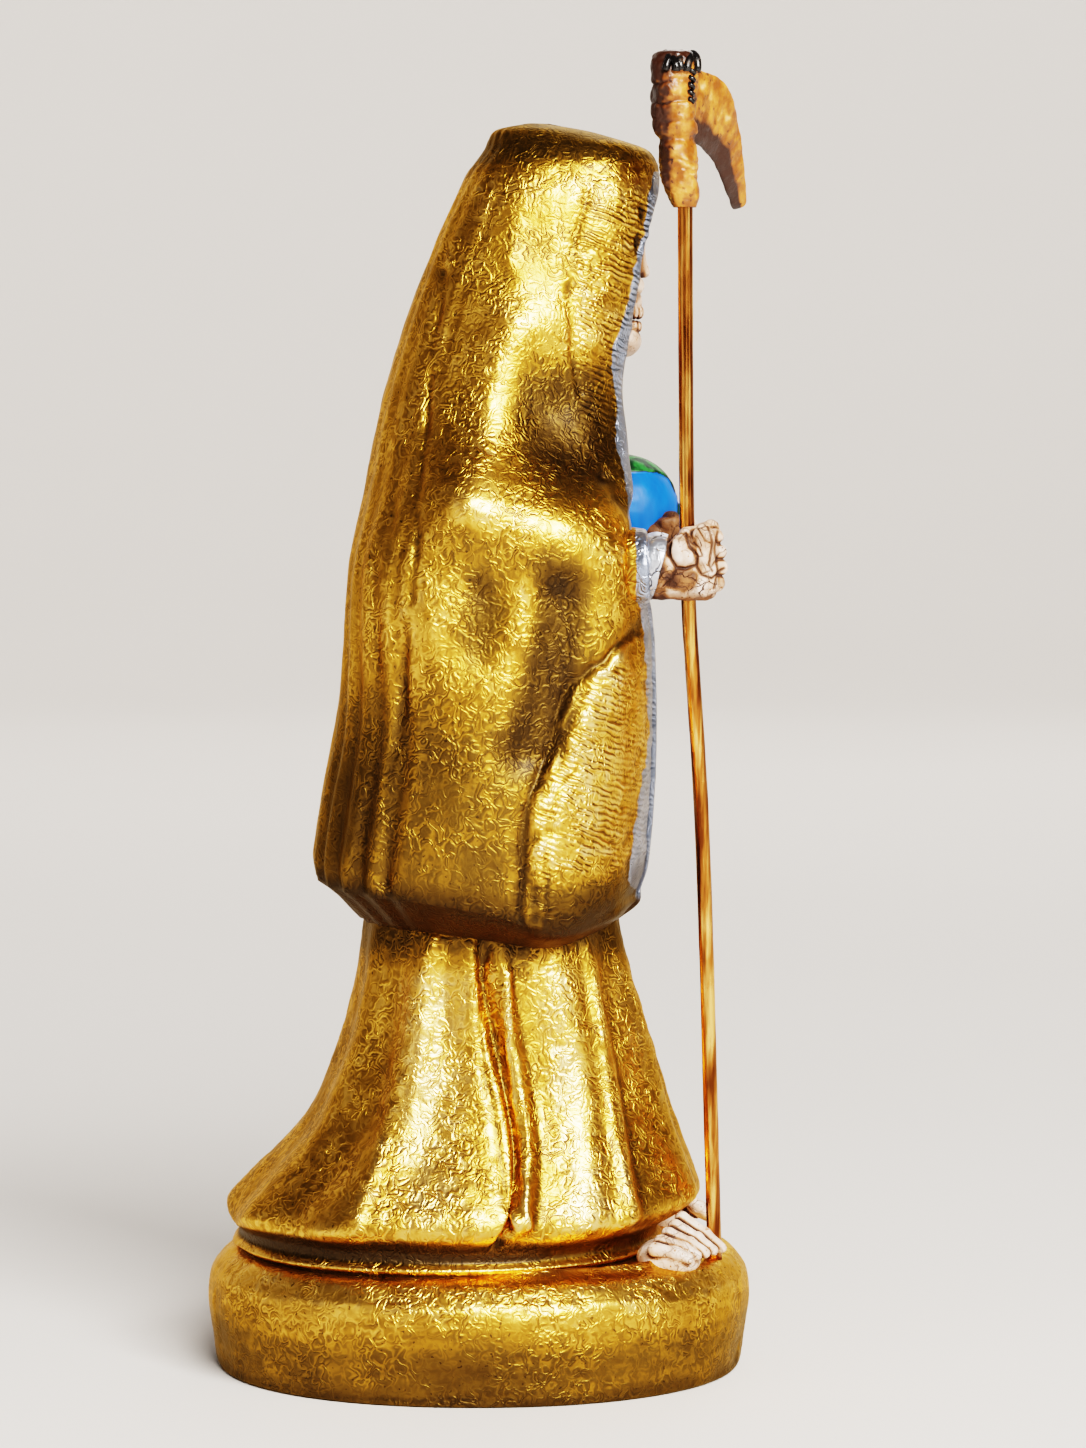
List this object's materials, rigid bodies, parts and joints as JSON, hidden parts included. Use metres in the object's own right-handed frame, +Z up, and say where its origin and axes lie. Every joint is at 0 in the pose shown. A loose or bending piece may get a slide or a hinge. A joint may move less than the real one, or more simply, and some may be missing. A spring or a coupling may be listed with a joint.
{
  "type": "santa muerte figure",
  "caption": "Hooded and robed skeleton statuette on a rounded plinth, with a globe in its left hand and a wire scythe in its right fist.",
  "frame": {"origin": "middle of the plinth's underside", "axes": "+Z up; the figure faces -Y and its right hand, with the scythe, is on -X"},
  "size_m": [0.088, 0.0954, 0.2281],
  "materials": {
    "gold_paint": "metallic gold paint with brown in its hollows, brushed over cast resin",
    "silver_paint": "metallic silver paint on cast resin",
    "bone_paint": "bone-coloured paint with dark brown crackle on cast resin",
    "globe_paint": "blue paint with green land on cast resin",
    "copper_wire": "copper-coloured steel wire, glossy",
    "scythe_paint": "tan paint with dark brown wash on cast resin"
  },
  "bodies": {
    "root": {"statue": "gold_paint", "scythe_shaft": "copper_wire", "scythe_head": "scythe_paint"}
  },
  "joints": []
}
